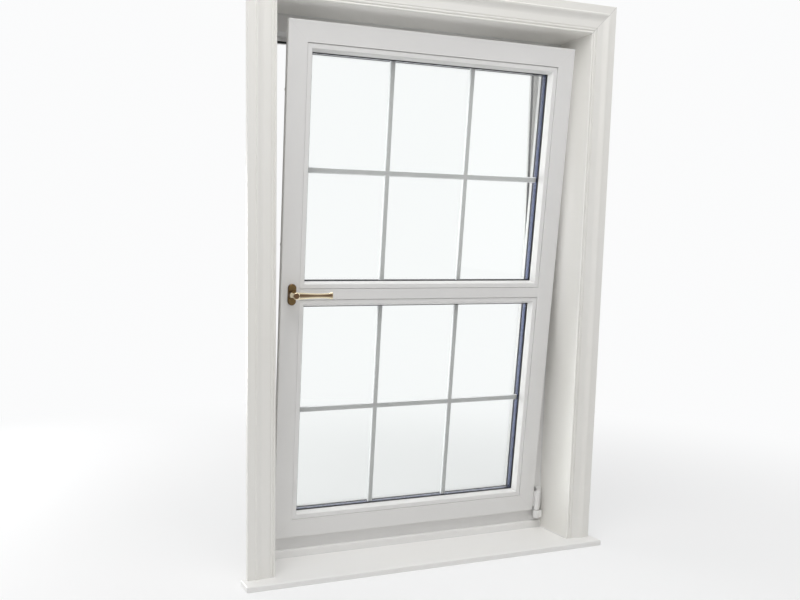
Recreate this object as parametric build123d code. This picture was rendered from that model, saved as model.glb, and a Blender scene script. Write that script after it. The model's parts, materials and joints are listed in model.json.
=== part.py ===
"""Tilt and turn window: welded plastic frame and sash, two double-glazed units with inner bars,
brass lever, hardware, and the white lining, window board and architraves around it.

Millimetres. +Z is up, the room is on the -Y side, Y = 0 is the room face of the outer frame and
X = 0 its middle. Sash pieces are drawn shut and then leaned into the room by tilt_deg.
Every profile is drawn in (a, y): a runs inwards from the outer edge of its frame, y is depth.
"""
import os
from math import acos, asin, atan2, cos, degrees, hypot, pi, radians, sin, sqrt, tan
from build123d import *

os.makedirs("parts", exist_ok=True)

# Driving dimensions
sash_w, sash_h = 1000.0, 1590.0          # over the room-side flange
tilt_deg = 4.2
sash_y0, sash_y1 = -18.0, 56.0           # room face and outside face of the sash
flange_w, flange_t = 20.0, 14.0          # room-side flange that laps the frame
rebate_a = 61.0                          # bottom of the glazing rebate
sight_a = 83.0                           # visible edge of the glass
frame_depth, frame_body, lap = 70.0, 60.0, 8.0
stop_w, stop_t = 20.0, 10.0              # outside stop of the frame
reveal_gap = 44.0                        # sash edge to lining and soffit
board_t, board_gap = 18.0, 69.0          # board thickness, board top to sash edge
sill_h = 35.0
lining_t, lining_d = 18.0, 147.0
arch_w, horn = 90.0, 17.0
board_front = -211.0
upstand_h, upstand_t = 26.0, 10.0         # trim at the back of the board
mid_rail_w = 33.0                        # flat of the middle rail between the beads
glass_t, cavity = 4.0, 16.0
wall, web = 3.0, 2.0                     # outer walls and inner webs of the plastic profiles
steel_gap, frame_steel_t, sash_steel_t = 0.4, 2.0, 1.5
bar_w, bar_t = 18.0, 8.0
handle_a = 35.0                          # handle axis from the sash edge
rod_travel = 12.0                        # drive rod travel for a quarter turn
fit = 0.05                               # gap round a screw in its hole
keep_t, bearing_t, block_t = 2.0, 4.0, 8.0       # plates and block screwed to the frame

# Derived places
sash_x = sash_w / 2
sash_z0 = board_t + board_gap
sash_z1 = sash_z0 + sash_h
mid_z = (sash_z0 + sash_z1) / 2
in_x = sash_x - lap
out_x = in_x + frame_body
in_z0, in_z1 = sash_z0 + lap, sash_z1 - lap
out_z0, out_z1 = in_z0 - frame_body, in_z1 + frame_body
lining_x, soffit_z = sash_x + reveal_gap, sash_z1 + reveal_gap
wall_y = -lining_d
hinge_x, hinge_y, hinge_z = sash_x + 12, -24.0, sash_z0 + 2     # lower corner ball, turn axis
stop_y = frame_depth - stop_t                                    # room side of the outside stop
glass_y0 = 11.0                                                  # room face of the unit
glass_y1 = glass_y0 + 2 * glass_t + cavity
unit_a = rebate_a + 5                                            # edge of the glass unit
leg_y = glass_y1 + 3                                             # inside of the outer sash leg
lip = sight_a - rebate_a
groove_y = 29.0                                                  # middle of the hardware groove
groove_a, slot_a = flange_w + 3.6, flange_w + 9                  # its bottom, and the slot's
top = sash_z1 - flange_w                                         # sash edge in the top rebate
cam_z = [sash_z0 + 380, mid_z + 150, sash_z1 - 190]              # locking cams with the lever level


def outline(points, place):
    """Closed wire through points (u, v) or (u, v, radius), corners with a radius rounded."""
    edges, starts, ends = [], [], []
    n = len(points)
    for i, point in enumerate(points):
        p = Vector(point[0], point[1])
        r = point[2] if len(point) > 2 else 0
        if not r:
            starts.append(p)
            ends.append(p)
            continue
        a = (Vector(*points[i - 1][:2]) - p).normalized()
        b = (Vector(*points[(i + 1) % n][:2]) - p).normalized()
        half = acos(max(-1, min(1, a.dot(b)))) / 2
        t = r / tan(half)
        middle = p + (a + b).normalized() * (r / sin(half) - r)
        starts.append(p + a * t)
        ends.append(p + b * t)
        edges.append(ThreePointArc(place(starts[-1]), place(middle), place(ends[-1])))
    for i in range(n):
        s, e = ends[i], starts[(i + 1) % n]
        if (e - s).length > 1e-6:
            edges.append(Line(place(s), place(e)))
    return Wire(edges)


def prism(points, place, direction, length, holes=()):
    """Straight bar of a section, with straight hollow chambers given as (u0, v0, u1, v1)."""
    inner = [outline([(u0, v0), (u1, v0), (u1, v1), (u0, v1)], place) for u0, v0, u1, v1 in holes]
    face = Face(outline(points, place), inner)
    return extrude(face, amount=length, dir=direction)


def block(x0, x1, y0, y1, z0, z1):
    return Pos((x0 + x1) / 2, (y0 + y1) / 2, (z0 + z1) / 2) * Box(x1 - x0, y1 - y0, z1 - z0)


def rod(start, direction, radius, length):
    """Cylinder from a start point along a direction."""
    return Plane(origin=start, z_dir=direction) * extrude(Circle(radius), length)


def tube(a0, y0, a1, y1, t):
    """Section and hollow of a square steel tube."""
    return [(a0, y0), (a1, y0), (a1, y1), (a0, y1)], [(a0 + t, y0 + t, a1 - t, y1 - t)]


def mitred(points, x, z0, z1, side, holes=(), mitre=2 * arch_w):
    """One mitred bar of the rectangular frame |X| <= x, z0 <= Z <= z1."""
    h = z1 - z0
    if side in ("bottom", "top"):
        bar = prism(points, lambda p: Vector(-x, p.Y, z0 + p.X), (1, 0, 0), 2 * x, holes)
        corners = [(-x, z0), (x, z0), (x - mitre, z0 + mitre), (-x + mitre, z0 + mitre)]
    else:
        bar = prism(points, lambda p: Vector(-x + p.X, p.Y, z0), (0, 0, 1), h, holes)
        corners = [(-x, z0), (-x + mitre, z0 + mitre), (-x + mitre, z1 - mitre), (-x, z1)]
    mask = extrude(make_face(Polyline(*[(cx, -sash_w, cz) for cx, cz in corners], close=True)),
                   amount=2 * sash_w, dir=(0, 1, 0))
    bar = bar & mask
    if side == "top":
        bar = mirror(bar, about=Plane.XY.offset((z0 + z1) / 2))
    if side == "right":
        bar = mirror(bar, about=Plane.YZ)
    return bar


def ring(a0, a1, y0, y1, x=sash_x, z0=sash_z0, z1=sash_z1):
    """Rectangular ring between two inward offsets."""
    return block(-x + a0, x - a0, y0, y1, z0 + a0, z1 - a0) - block(
        -x + a1, x - a1, y0 - 1, y1 + 1, z0 + a1, z1 - a1)


def lean(shape):
    """From shut to the tilted rest position."""
    return shape.rotate(Axis((0, hinge_y, hinge_z), (1, 0, 0)), tilt_deg)


def save(shape, node, sash=False):
    solids = shape if isinstance(shape, list) else [shape]
    if sash:
        solids = [lean(s) for s in solids]
    shape = Compound(children=solids) if len(solids) > 1 else solids[0]
    export_step(shape, f"parts/{node}.step")


# Outer frame
frame_section = [(0, 0), (frame_body, 0, 1.5), (frame_body, stop_y), (frame_body + stop_w, stop_y, 1),
                 (frame_body + stop_w, frame_depth, 2), (0, frame_depth, 1)]
room_y, steel_y, steel_a = 12.0, 53.0, 44.0      # room chamber, steel chamber
frame_chambers = [(wall, wall, frame_body - wall, room_y),
                  (wall, room_y + web, steel_a, steel_y),
                  (steel_a + web, room_y + web, frame_body - wall, steel_y),
                  (wall, steel_y + web, frame_body - wall, frame_depth - wall)]
screw_z = [mid_z + k * 225 for k in (-3, -1, 1, 3)]
screw_y, screw_r = 33.5, 3.75
frame_bars = {s: mitred(frame_section, out_x, out_z0, out_z1, s, frame_chambers)
              for s in ("top", "bottom", "left", "right")}
steel_end = frame_body                   # the steel stops clear of the welded corners
steel_section, steel_hollow = tube(wall + steel_gap, room_y + web + steel_gap, steel_a - steel_gap,
                                   steel_y - steel_gap, frame_steel_t)
frame_steel = [
    prism(steel_section, lambda p: Vector(-out_x + steel_end, p.Y, out_z0 + p.X), (1, 0, 0),
          2 * (out_x - steel_end), steel_hollow),
    prism(steel_section, lambda p: Vector(-out_x + p.X, p.Y, out_z0 + steel_end), (0, 0, 1),
          out_z1 - out_z0 - 2 * steel_end, steel_hollow)]
frame_steel.append(mirror(frame_steel[0], about=Plane.XY.offset((out_z0 + out_z1) / 2)))
frame_steel.append(mirror(frame_steel[1], about=Plane.YZ))
for z in screw_z:
    drill = rod((-out_x - 5, screw_y, z), (1, 0, 0), screw_r, frame_body + 10)
    frame_bars["left"] -= drill
    frame_steel[1] -= drill
    drill = rod((in_x - 5, screw_y, z), (1, 0, 0), screw_r, frame_body + 10)
    frame_bars["right"] -= drill
    frame_steel[3] -= drill
# Drain slots through the sill, from the rebate down and out to the front
drain_x = sash_x - 170
for x in (-drain_x, drain_x):
    frame_bars["bottom"] -= block(x - 14, x + 14, 56.5, 59, in_z0 - 5, in_z0 + 1)
    frame_bars["bottom"] -= block(x - 12, x + 12, 60, 75, out_z0 + 12, out_z0 + 17)
save(frame_bars["top"], "outer_frame_head")
save(frame_bars["bottom"], "outer_frame_sill")
save(frame_bars["left"], "outer_frame_jamb_left")
save(frame_bars["right"], "outer_frame_jamb_right")
save(frame_steel, "frame_reinforcement")
save(ring(frame_body + 13, frame_body + 19, sash_y1 + 0.15, stop_y, out_x, out_z0, out_z1),
     "frame_gasket")
save([fillet(block(x - 17, x + 17, frame_depth, frame_depth + 4, out_z0 + 8, out_z0 + 22)
             .edges().group_by(Axis.Y)[-1], 1.5) for x in (-drain_x, drain_x)], "drain_caps")
save(prism([(0, 2), (sill_h, 2), (sill_h, 66), (0, 66)], lambda p: Vector(-out_x, p.Y, p.X),
           (1, 0, 0), 2 * out_x, [(3, 5, sill_h - 3, 32), (3, 35, sill_h - 3, 63)]),
     "sill_profile")

# Window board with ears, linings and architraves
ear_x = lining_x + arch_w + horn
board_plan = [(-lining_x, 2), (lining_x, 2), (lining_x, wall_y), (ear_x, wall_y),
              (ear_x, board_front, 6), (-ear_x, board_front, 6), (-ear_x, wall_y),
              (-lining_x, wall_y)]
board = extrude(make_face(outline(board_plan, lambda p: Vector(p.X, p.Y, 0))), amount=board_t)
nosing = board.edges().filter_by(Axis.X).group_by(Axis.Y)[0]
board = fillet(nosing.sort_by(Axis.Z)[-1:], 4)
board = fillet(board.edges().filter_by(Axis.X).group_by(Axis.Y)[0].sort_by(Axis.Z)[:1], 3)
upstand = block(-lining_x, lining_x, -upstand_t, 0, board_t, board_t + upstand_h)
upstand_nose = upstand.edges().filter_by(Axis.X).group_by(Axis.Y)[0].sort_by(Axis.Z)[-1:]
save([board, fillet(upstand_nose, upstand_t * 0.6)], "window_board")
for name, s in (("lining_left", -1), ("lining_right", 1)):
    xs = sorted((s * lining_x, s * (lining_x + lining_t)))
    save(block(xs[0], xs[1], wall_y, 0, board_t, soffit_z + lining_t), name)
save(block(-lining_x, lining_x, wall_y, 0, soffit_z, soffit_z + lining_t), "lining_head")

# Two fine beads, a flat field, a cove that rises to an arris, and a flat outer band
arch_section = [(0, 0), (0, -13, 3), (6, -13, 2.4), (6, -10), (9, -10), (9, -12.5, 2.4),
                (16, -12.5, 1.8), (16, -10.5), (18, -10.5), (18, -12), (44, -12, 30), (58, -18, 3),
                (63.5, -19, 2), (65.5, -15.5), (arch_w, -15.5, 2), (arch_w, 0),
                (lining_t + 8, 0), (lining_t + 8, -1.5), (lining_t, -1.5), (lining_t, 0)]
# Drawn outwards from the opening, so a runs from the outer edge inwards
arch_profile = [(arch_w - p[0], wall_y + p[1], *p[2:]) for p in arch_section]
arch = {s: mitred(arch_profile, lining_x + arch_w, board_t - arch_w, soffit_z + arch_w, s)
        for s in ("top", "left", "right")}
foot = block(-sash_w, sash_w, -sash_w, sash_w, -sash_w, board_t)
save(arch["top"], "architrave_head")
save(arch["left"] - foot, "architrave_left")
save(arch["right"] - foot, "architrave_right")

# Sash bars
sash_section = [(0, sash_y0, 2.5), (rebate_a, sash_y0, 1), (rebate_a, leg_y), (sight_a, leg_y, 1),
                (sight_a, sash_y1, 3), (flange_w, sash_y1, 2), (flange_w, groove_y + 8.3),
                (groove_a, groove_y + 8.3), (groove_a, groove_y + 4.8), (slot_a, groove_y + 4.8),
                (slot_a, groove_y - 4.8), (groove_a, groove_y - 4.8), (groove_a, groove_y - 8.3),
                (flange_w, groove_y - 8.3), (flange_w, sash_y0 + flange_t), (0, sash_y0 + flange_t, 1)]
sash_chambers = [(slot_a + 5, sash_y0 + 4, rebate_a - 4, leg_y - 4),
                 (wall, sash_y0 + wall, slot_a + 3, sash_y0 + flange_t - wall),
                 (flange_w + 4, leg_y + 4, rebate_a - 1, sash_y1 - wall),
                 (rebate_a + 2, leg_y + wall, sight_a - wall, sash_y1 - wall)]
sash_bars = {s: mitred(sash_section, sash_x, sash_z0, sash_z1, s, sash_chambers)
             for s in ("top", "bottom", "left", "right")}
half = mid_rail_w / 2
mid_bar = block(-(sash_x - rebate_a), sash_x - rebate_a, sash_y0, leg_y, mid_z - half, mid_z + half)
mid_bar += block(-(sash_x - sight_a), sash_x - sight_a, leg_y, sash_y1,
                 mid_z - half - lip, mid_z + half + lip)
mid_bar -= block(-sash_x, sash_x, sash_y0 + wall, leg_y - 4, mid_z - half + wall, mid_z + half - wall)
mid_bar -= block(-sash_x, sash_x, leg_y + wall, sash_y1 - wall, mid_z - half - lip + wall,
                 mid_z + half + lip - wall)
steel_end = rebate_a + wall
steel_section, steel_hollow = tube(slot_a + 5.3, sash_y0 + 4.3, rebate_a - 4.3, leg_y - 4.3,
                                   sash_steel_t)
sash_steel = [
    prism(steel_section, lambda p: Vector(-sash_x + steel_end, p.Y, sash_z0 + p.X), (1, 0, 0),
          sash_w - 2 * steel_end, steel_hollow),
    prism(steel_section, lambda p: Vector(-sash_x + p.X, p.Y, sash_z0 + steel_end), (0, 0, 1),
          sash_h - 2 * steel_end, steel_hollow)]
sash_steel.append(mirror(sash_steel[0], about=Plane.XY.offset(mid_z)))
sash_steel.append(mirror(sash_steel[1], about=Plane.YZ))
steel_x, steel_h = sash_x - rebate_a - 9, half - wall - 0.3
steel_y0, steel_y1 = sash_y0 + wall + steel_gap, leg_y - 4 - steel_gap
sash_steel.append(block(-steel_x, steel_x, steel_y0, steel_y1, mid_z - steel_h, mid_z + steel_h)
                  - block(-sash_x, sash_x, steel_y0 + sash_steel_t, steel_y1 - sash_steel_t,
                          mid_z - steel_h + sash_steel_t, mid_z + steel_h - sash_steel_t))

# Handle, gearbox and drive rod, on the left stile
hx = -sash_x + handle_a
pocket = block(-sash_x + flange_w - 1, hx + 14.5, groove_y - 8.5, groove_y + 8.5,
               mid_z - 76, mid_z + 76)
spindle_hole = rod((hx, sash_y0 - 1, mid_z), (0, 1, 0), 7.0, 60)
stile_cut = pocket + spindle_hole
for dz in (-21.5, 21.5):
    stile_cut += rod((hx, sash_y0 - 1, mid_z + dz), (0, 1, 0), 5.2, 42)
plate_x0, plate_x1 = -sash_x + flange_w + 0.4, -sash_x + groove_a - 0.1  # faceplate in its groove
plate_screw_z = [mid_z + k * sash_h for k in (-0.355, -0.148, 0.069, 0.264, 0.336)]
plate_screw_y, pilot_r = groove_y + 6.4, 1.35
guide_screw_x = (-sash_x + 160, -150, 40)
for z in plate_screw_z:
    stile_cut += rod((plate_x1, plate_screw_y, z), (1, 0, 0), pilot_r, 9)
sash_bars["left"] -= stile_cut
sash_steel[1] -= stile_cut
for x in guide_screw_x:
    sash_bars["top"] -= rod((x, plate_screw_y, top - 3.5), (0, 0, -1), pilot_r, 9)
save(sash_bars["top"], "sash_top_rail", True)
save(sash_bars["bottom"], "sash_bottom_rail", True)
save(sash_bars["left"], "sash_stile_left", True)
save(sash_bars["right"], "sash_stile_right", True)
save(mid_bar, "sash_mid_rail", True)
save(sash_steel, "sash_reinforcement", True)


def plate_screw(place, direction):
    """Small pan head screw: the head stands on the place, the shank goes along the direction."""
    head = Vector(*place) - direction * 1.2
    return rod(place, direction, pilot_r - fit, 11.1) + rod(head, direction, 1.85, 1.2)


pitch_r = rod_travel / (pi / 2)
teeth = 16
module = 2 * pitch_r / teeth
rack_x = hx - pitch_r                     # pitch line of the rack


def involute(radius, base):
    t = sqrt(max((radius / base) ** 2 - 1, 0))
    return t - atan2(t, 1)


def pinion_face():
    """Involute pinion of 20 degrees, with a tooth gap facing -X."""
    base, tip, root = pitch_r * cos(radians(20)), pitch_r + 0.9 * module, pitch_r - 1.2 * module
    half_pitch = (pi * module / 2 - 0.12) / (2 * pitch_r) + involute(pitch_r, base)
    radii = [max(base, root) + (tip - max(base, root)) * k / 5 for k in range(6)]
    pts = []
    for i in range(teeth):
        mid = pi + (i + 0.5) * 2 * pi / teeth
        flank = [(r, half_pitch - involute(r, base)) for r in radii]
        side = [(root, flank[0][1])] + flank
        pts += [(r * cos(mid - w), r * sin(mid - w)) for r, w in side]
        pts += [(r * cos(mid + w), r * sin(mid + w)) for r, w in reversed(side)]
    return pts


pinion = extrude(make_face(Polyline(*[(hx + px, 25, mid_z + pz) for px, pz in pinion_face()],
                                    close=True)), amount=8, dir=(0, 1, 0))
pinion += rod((hx, 23, mid_z), (0, 1, 0), 5.5, 12)
square = 7.1
pinion -= block(hx - square / 2, hx + square / 2, 10, 50, mid_z - square / 2, mid_z + square / 2)
save(pinion, "gear_pinion", True)

rod_x0, rod_x1 = -sash_x + 24.0, rack_x - 1.1 * module
rod_z0, rod_z1 = sash_z0 + 150, sash_z1 - 150
rod_bar = block(rod_x0, rod_x1, groove_y - 4.5, groove_y + 4.5, rod_z0, rod_z1)
rack = []
for k in range(-9, 10):
    z = mid_z + k * pi * module
    w_tip = (pi * module / 2 - 0.12) / 2 - 0.9 * module * tan(radians(20))
    w_low = (pi * module / 2 - 0.12) / 2 + 1.1 * module * tan(radians(20))
    rack_tip = rack_x + 0.9 * module
    points = [(rod_x1, z - w_low), (rack_tip, z - w_tip), (rack_tip, z + w_tip), (rod_x1, z + w_low)]
    tooth = make_face(Polyline(*[(px, groove_y - 4, pz) for px, pz in points], close=True))
    rack.append(extrude(tooth, amount=8, dir=(0, 1, 0)))
for tooth in rack:
    rod_bar += tooth
cams, cam_r, slot_r = [], 4.0, 4.3
for z in cam_z:
    rod_bar -= rod((rod_x0 - 1, groove_y, z), (1, 0, 0), 2.55, 8)
    cams.append(rod((rod_x1, groove_y, z), (-1, 0, 0), 2.5, rod_x1 - rod_x0)
                + rod((rod_x0, groove_y, z), (-1, 0, 0), cam_r, 9)
                + rod((rod_x0 - 9, groove_y, z), (-1, 0, 0), 5.0, 3.5))
save(rod_bar, "drive_rod", True)
save(cams, "locking_cams", True)

faceplate = block(plate_x0, plate_x1, groove_y - 8, groove_y + 8, sash_z0 + 118, sash_z1 - 118)
for z in cam_z:
    faceplate -= extrude(Plane(origin=(plate_x0 - 1, groove_y, z), x_dir=(0, 0, 1), z_dir=(1, 0, 0))
                         * SlotOverall(2 * (rod_travel + 4.5), 2 * slot_r), plate_x1 - plate_x0 + 2)
sash_screws = []
for z in plate_screw_z:
    faceplate -= rod((plate_x0 - 1, plate_screw_y, z), (1, 0, 0), pilot_r, 6)
    sash_screws.append(plate_screw((plate_x0, plate_screw_y, z), Vector(1, 0, 0)))
save(faceplate, "faceplate", True)

case = block(plate_x1, hx + 14, groove_y - 8, groove_y + 8, mid_z - 75, mid_z + 75)
case -= block(plate_x1 - 1, -sash_x + 29.2, groove_y - 5.3, groove_y + 5.3, mid_z - 80, mid_z + 80)
case -= rod((hx, 23.6, mid_z), (0, 1, 0), pitch_r + 1.5, 10.8)
case -= block(plate_x1 - 1, hx, 23.6, 34.4, mid_z - 9, mid_z + 9)
case -= rod((hx, 15, mid_z), (0, 1, 0), 5.56, 30)
for dz in (-21.5, 21.5):
    case -= rod((hx, 15, mid_z + dz), (0, 1, 0), 2.5, 18)
save(case, "gearbox", True)

corner_drives = []
for zc, s in ((sash_z0, 1), (sash_z1, -1)):
    legs = [block(plate_x0, plate_x1, groove_y - 8, groove_y + 8,
                  *sorted((zc + s * 20.4, zc + s * 117.5))),
            block(plate_x0, -sash_x + 117.5, groove_y - 8, groove_y + 8,
                  *sorted((zc + s * 20.4, zc + s * 23.5)))]
    angle = legs[0] + legs[1]
    bend = Vector(plate_x0, groove_y, zc + s * 20.4)
    corner_edge = min(angle.edges().filter_by(Axis.Y), key=lambda e: (e.center() - bend).length)
    corner_drives.append(fillet(corner_edge, 3))
save(corner_drives, "corner_drives", True)

rose_t, boss_l, neck_gap = 8.0, 19.0, 0.08
rose = extrude(Plane(origin=(hx, sash_y0, mid_z), x_dir=(1, 0, 0), z_dir=(0, -1, 0))
               * SlotOverall(66, 26, rotation=90), rose_t)
rose = fillet(rose.edges().group_by(Axis.Y)[0], 3)
rose += Plane(origin=(hx, sash_y0 - rose_t + 1, mid_z), z_dir=(0, -1, 0)) * Cone(
    13.0, 12.4, boss_l - rose_t + 1, align=(Align.CENTER, Align.CENTER, Align.MIN))
rose -= rod((hx, sash_y0 + 1, mid_z), (0, -1, 0), 10 + neck_gap, boss_l + 2)
for dz in (-21.5, 21.5):
    rose -= rod((hx, sash_y0 + 1, mid_z + dz), (0, -1, 0), 5.2, 7)
save(rose, "handle_rose", True)
save([rod((hx, sash_y0 - 2.5, mid_z + dz), (0, 1, 0), 2.45, 50.5)
      + rod((hx, sash_y0 - 2.5, mid_z + dz), (0, -1, 0), 4.8, 3) for dz in (-21.5, 21.5)],
     "handle_screws", True)

# Lever: oval arm with a waist and a flared end, round hub, tapered neck into the rose
lever_y = sash_y0 - 48
hub_t = 13.0
arm_y = lever_y + hub_t / 2
arm_sections = [(0, 10.8, 6.3), (14, 10.5, 6.3), (34, 9.2, 6.0), (62, 7.8, 5.7), (90, 7.6, 5.5),
                (108, 9.0, 5.8), (119, 11.6, 5.6)]
lever = loft([Plane(origin=(hx + u, arm_y, mid_z), x_dir=(0, 1, 0), z_dir=(1, 0, 0))
              * Ellipse(thick, high) for u, high, thick in arm_sections])
lever = fillet(lever.edges().group_by(Axis.X)[-1], 1.2)
hub = rod((hx, lever_y, mid_z), (0, 1, 0), 11.2, hub_t)
lever += fillet(hub.edges().group_by(Axis.Y)[0], 4)
neck_y = lever_y + hub_t - 1
lever += Plane(origin=(hx, neck_y, mid_z), z_dir=(0, 1, 0)) * Cone(
    10.2, 12.2, sash_y0 - boss_l - 0.2 - neck_y, align=(Align.CENTER, Align.CENTER, Align.MIN))
lever += rod((hx, sash_y0 - boss_l - 1, mid_z), (0, 1, 0), 10.0, boss_l + 0.5)
square_r = square / 2
lever -= block(hx - square_r, hx + square_r, lever_y + 20, 20, mid_z - square_r, mid_z + square_r)
save(lever, "handle_lever", True)
save(block(hx - 3.5, hx + 3.5, lever_y + 20, 36.5, mid_z - 3.5, mid_z + 3.5), "spindle", True)

# Keeps and run-up block on the frame; a cam passes below its keep when the sash tilts
keep_start = 7.8
keeps = []
for z in cam_z:
    z0, z1 = z + keep_start, z + 26
    keeps.append(block(-in_x, -in_x + keep_t, 14, 44, z0 - 24, z1 + 22)
                 + block(-in_x, -in_x + 7.6, 17.5, 23.4, z0, z1))
save(keeps, "keeps")
save(chamfer(block(-in_x + 40, -in_x + 110, 12, 50, in_z0, in_z0 + block_t)
             .edges().group_by(Axis.Z)[-1], 1.5), "run_up_block")

# Glazing, from the outside gasket in to the beads
units = {"upper": (mid_z + half - rebate_a, sash_z1), "lower": (sash_z0, mid_z - half + rebate_a)}
bead_y0, bead_y1 = sash_y0 + 2, glass_y0 - 3
bead_section = [(rebate_a + 1, bead_y0, 0.6), (sight_a - 7, bead_y0, 2.5), (sight_a, bead_y1 - 7),
                (sight_a, bead_y1), (rebate_a + 1, bead_y1)]
bead_chamber = [(rebate_a + 3, bead_y0 + 2, sight_a - 9, bead_y1 - 2)]
edge_seals, keys, setting_blocks, inner_gaskets, outer_gaskets = [], [], [], [], []
ux, block_x = sash_x - unit_a, sash_x - 170
for name, (z0, z1) in units.items():
    u0, u1 = z0 + unit_a, z1 - unit_a
    save([mitred(bead_section, sash_x, z0, z1, s, bead_chamber)
          for s in ("top", "bottom", "left", "right")], f"glazing_beads_{name}", True)
    inner_gaskets.append(ring(sight_a - 6.5, sight_a, bead_y1, glass_y0, sash_x, z0, z1))
    outer_gaskets.append(ring(sight_a - 8, sight_a, glass_y1, leg_y, sash_x, z0, z1))
    save(block(-ux, ux, glass_y0, glass_y0 + glass_t, u0, u1), f"inner_pane_{name}", True)
    save(block(-ux, ux, glass_y1 - glass_t, glass_y1, u0, u1), f"outer_pane_{name}", True)
    c0, c1 = glass_y0 + glass_t, glass_y1 - glass_t
    save(ring(unit_a + 4, unit_a + 12, c0, c1, sash_x, z0, z1), f"spacer_{name}", True)
    edge_seals.append(ring(unit_a, unit_a + 4, c0, c1, sash_x, z0, z1))
    by = (c0 + c1) / 2
    cx, cz0, cz1 = ux - 12, u0 + 12, u1 - 12
    key = 6.0
    clear = (2 * (sash_x - sight_a) - 2 * bar_w) / 3
    bar_x = clear / 2 + bar_w / 2
    cross = [(-cx + key, cx - key, (u0 + u1 - bar_w) / 2, (u0 + u1 + bar_w) / 2)]
    cross += [(s * bar_x - bar_w / 2, s * bar_x + bar_w / 2, cz0 + key, cz1 - key) for s in (-1, 1)]
    grid = Part() + [block(x0, x1, by - bar_t / 2, by + bar_t / 2, b0, b1)
                     for x0, x1, b0, b1 in cross]
    # Rolled bars: long edges bevelled on both faces, one millimetre wall
    grid = chamfer(grid.edges().filter_by(lambda e: e.length > 100), 2.4)
    x0, x1, b0, b1 = cross[0]
    grid -= block(x0 - 1, x1 + 1, by - bar_t / 2 + 1, by + bar_t / 2 - 1, b0 + 3, b1 - 3)
    for x0, x1, b0, b1 in cross[1:]:
        grid -= block(x0 + 3, x1 - 3, by - bar_t / 2 + 1, by + bar_t / 2 - 1, b0 - 1, b1 + 1)
    save(grid, f"glazing_bars_{name}", True)
    keys += [block(*sorted((s * cx, s * (cx - key))), by - 3.5, by + 3.5,
                   (u0 + u1) / 2 - 7, (u0 + u1) / 2 + 7) for s in (-1, 1)]
    keys += [block(s * bar_x - 7, s * bar_x + 7, by - 3.5, by + 3.5, *sorted((e, e + d * key)))
             for s in (-1, 1) for e, d in ((cz0, 1), (cz1, -1))]
    setting_blocks += [block(x - 50, x + 50, glass_y0, glass_y1 + 2, z0 + rebate_a, u0)
                       for x in (-block_x, block_x)]
    setting_blocks += [block(*sorted((s * ux, s * (sash_x - rebate_a))), glass_y0, glass_y1 + 2,
                             u1 - 150, u1 - 50) for s in (-1, 1)]
save(inner_gaskets, "inner_gaskets", True)
save(outer_gaskets, "outer_gaskets", True)
save(edge_seals, "edge_seals", True)
save(keys, "bar_end_keys", True)
save(setting_blocks, "setting_blocks", True)

# Sash gasket, with a gap where the stay arm passes at the hinge side
sash_gasket = ring(3, 7.5, sash_y0 + flange_t, -0.15) - block(
    sash_x - 20, sash_x + 1, -10, 5, sash_z1 - 23, sash_z1 - 6)
save(sash_gasket, "sash_gasket", True)

# Lower corner hinge: ball and pin, frame bearing, sash band, covers
pin = (Pos(hinge_x, hinge_y, hinge_z) * Sphere(6)
       + rod((hinge_x, hinge_y, hinge_z), (0, 0, 1), 4, 68))
save(pin, "hinge_pin", True)
plate_in, plate_out = hinge_x + 6, lining_x - 2       # plates of the two frame bearings
bearing_x = hinge_x + 18                              # outer end of their brackets
barrel_r, barrel_z0 = 9.0, hinge_z - 26
bearing = block(plate_in, plate_out, -bearing_t, 0, hinge_z - 42, hinge_z + 80)
bearing += rod((hinge_x, hinge_y, barrel_z0), (0, 0, 1), barrel_r, 25)
bearing += block(hinge_x + 2, bearing_x, hinge_y - 6, -2, barrel_z0, hinge_z - 4)
bearing -= Pos(hinge_x, hinge_y, hinge_z) * Sphere(6.05)
save(bearing, "corner_bearing")
# Its covers: a block over the plate, and a cup round barrel and bracket below the ball
cup_t, cup_gap = 1.3, 0.1
cup_out = cup_t + cup_gap
cup_z0, cup_z1 = barrel_z0 - cup_out, hinge_z - 4 + cup_out
cup = rod((hinge_x, hinge_y, cup_z0), (0, 0, 1), barrel_r + cup_out, cup_z1 - cup_z0)
cup += block(hinge_x, bearing_x + cup_out, hinge_y - 6 - cup_out, -bearing_t, cup_z0, cup_z1)
cup -= rod((hinge_x, hinge_y, cup_z0 + cup_t), (0, 0, 1), barrel_r + cup_gap, 30)
cup -= block(hinge_x + 2, bearing_x + cup_gap, hinge_y - 6 - cup_gap, 0, cup_z0 + cup_t,
             cup_z1 - cup_t)
save([fillet(block(hinge_x + 7, lining_x - 2.5, -11, -bearing_t, hinge_z, hinge_z + 79)
             .edges().group_by(Axis.Y)[0], 2.5), cup], "corner_bearing_cover")
band = rod((hinge_x, hinge_y, hinge_z + 12), (0, 0, 1), 8, 58)
band += block(sash_x, hinge_x - 2, hinge_y + 2, hinge_y + 9, hinge_z + 14, hinge_z + 68)
band += block(sash_x, sash_x + 2.5, sash_y0 + 2, sash_y0 + flange_t - 1, hinge_z + 8,
              hinge_z + 74)
band -= rod((hinge_x, hinge_y, hinge_z), (0, 0, 1), 4.05, 90)
save(band, "hinge_band", True)
cover = rod((hinge_x, hinge_y, hinge_z + 2.5), (0, 0, 1), 9.6, 69.5)
cover = fillet(cover.edges().group_by(Axis.Z)[-1], 1)
cover -= rod((hinge_x, hinge_y, hinge_z + 2), (0, 0, 1), 8.05, 68)
cover -= block(sash_x - 1, hinge_x, hinge_y, hinge_y + 12, hinge_z + 5, hinge_z + 75)
save(cover, "hinge_band_cover", True)

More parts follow.
